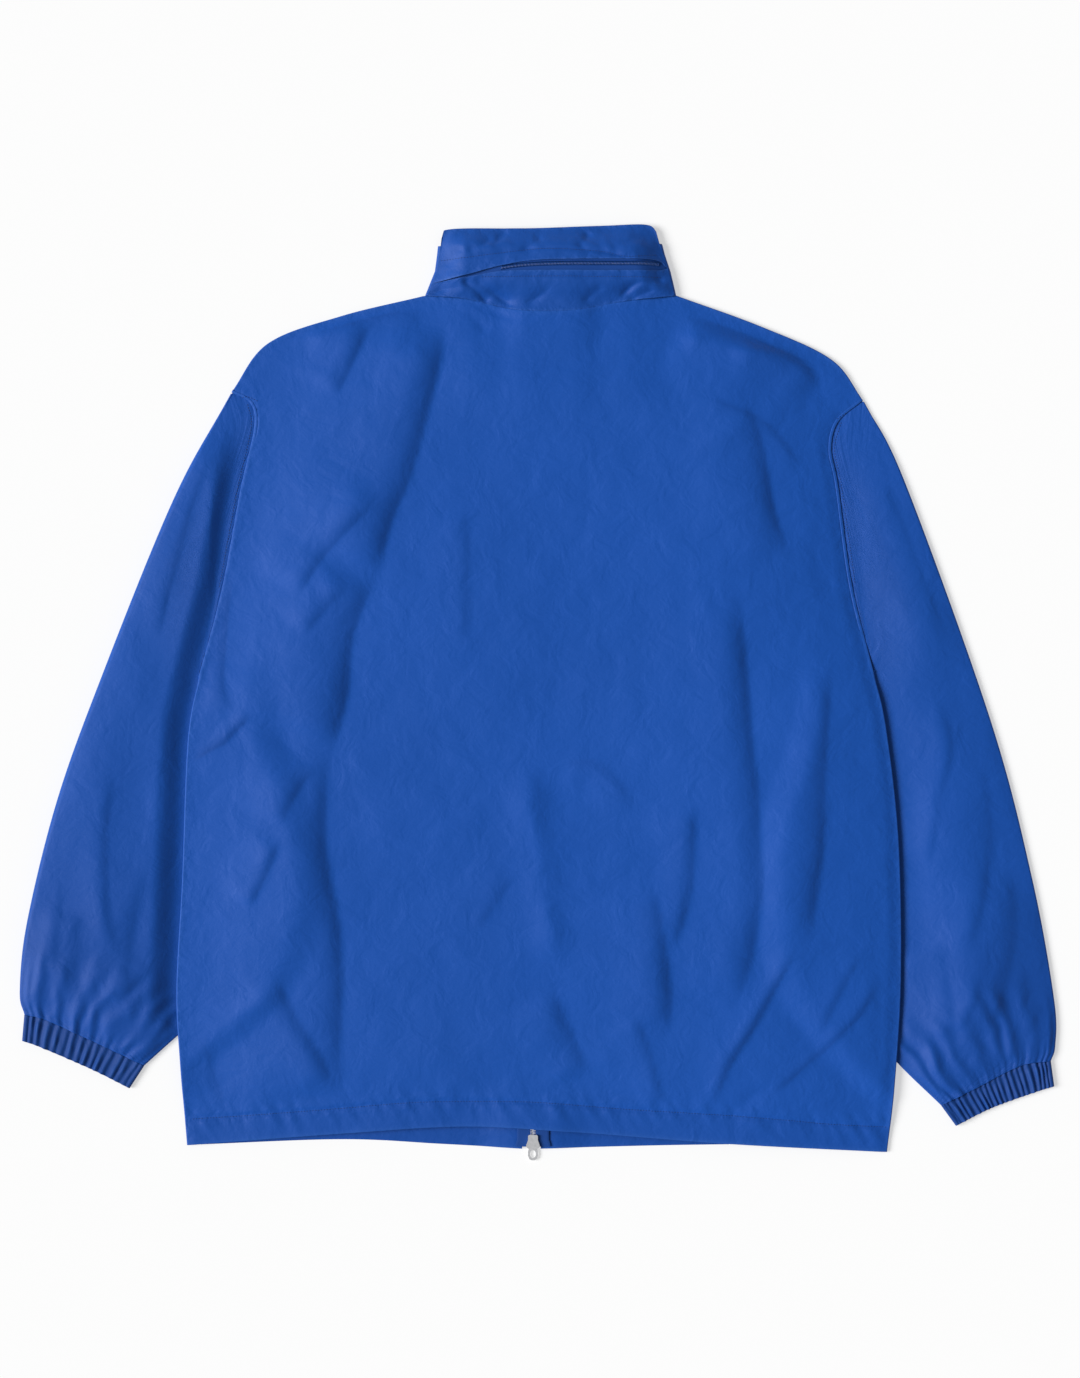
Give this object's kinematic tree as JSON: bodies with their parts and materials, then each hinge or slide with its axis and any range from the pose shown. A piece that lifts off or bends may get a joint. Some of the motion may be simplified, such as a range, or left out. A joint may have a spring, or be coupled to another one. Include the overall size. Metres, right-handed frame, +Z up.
{
  "type": "hooded rain jacket",
  "caption": "Zipped nylon rain jacket with the hood rolled in its stand collar and gathered elastic cuffs, laid flat with the back up.",
  "frame": {"origin": "centre of the bounding box on the surface that the jacket lies on", "axes": "+X towards the right sleeve of the laid jacket as the picture shows it, +Y towards the collar, +Z up from the surface, out of the jacket's back"},
  "size_m": [0.9103, 0.8226, 0.017],
  "materials": {
    "shell_cloth": "fine nylon taffeta with a slight sheen",
    "cuff_cloth": "the same cloth gathered over elastic",
    "zip_tape": "woven polyester tape with nylon coil",
    "zip_metal": "plated die-cast metal"
  },
  "bodies": {
    "jacket": {"back": "shell_cloth", "front_left": "shell_cloth", "front_right": "shell_cloth", "sleeve_left": "shell_cloth", "sleeve_right": "shell_cloth", "collar_lower": "shell_cloth", "collar_upper": "shell_cloth", "collar_inner": "shell_cloth", "hood_roll": "shell_cloth", "cuff_left": "cuff_cloth", "cuff_right": "cuff_cloth", "hood_zip": "zip_tape", "zip_tape_left": "zip_tape", "zip_tape_right": "zip_tape", "zip_slider_bottom": "zip_metal", "zip_slider_top": "zip_metal"},
    "pull_bottom": {"zip_pull_bottom": "zip_metal"},
    "pull_top": {"zip_pull_top": "zip_metal"}
  },
  "joints": [
    {"name": "pull_bottom_swing", "type": "hinge", "parent": "jacket", "child": "pull_bottom", "pos_m": [-0.0046, -0.3947, 0.0015], "axis": [1, 0, 0], "range_deg": [0, 150]},
    {"name": "pull_top_swing", "type": "hinge", "parent": "jacket", "child": "pull_top", "pos_m": [0.0095, 0.3582, 0.0015], "axis": [1, 0, 0], "range_deg": [0, 150]}
  ]
}
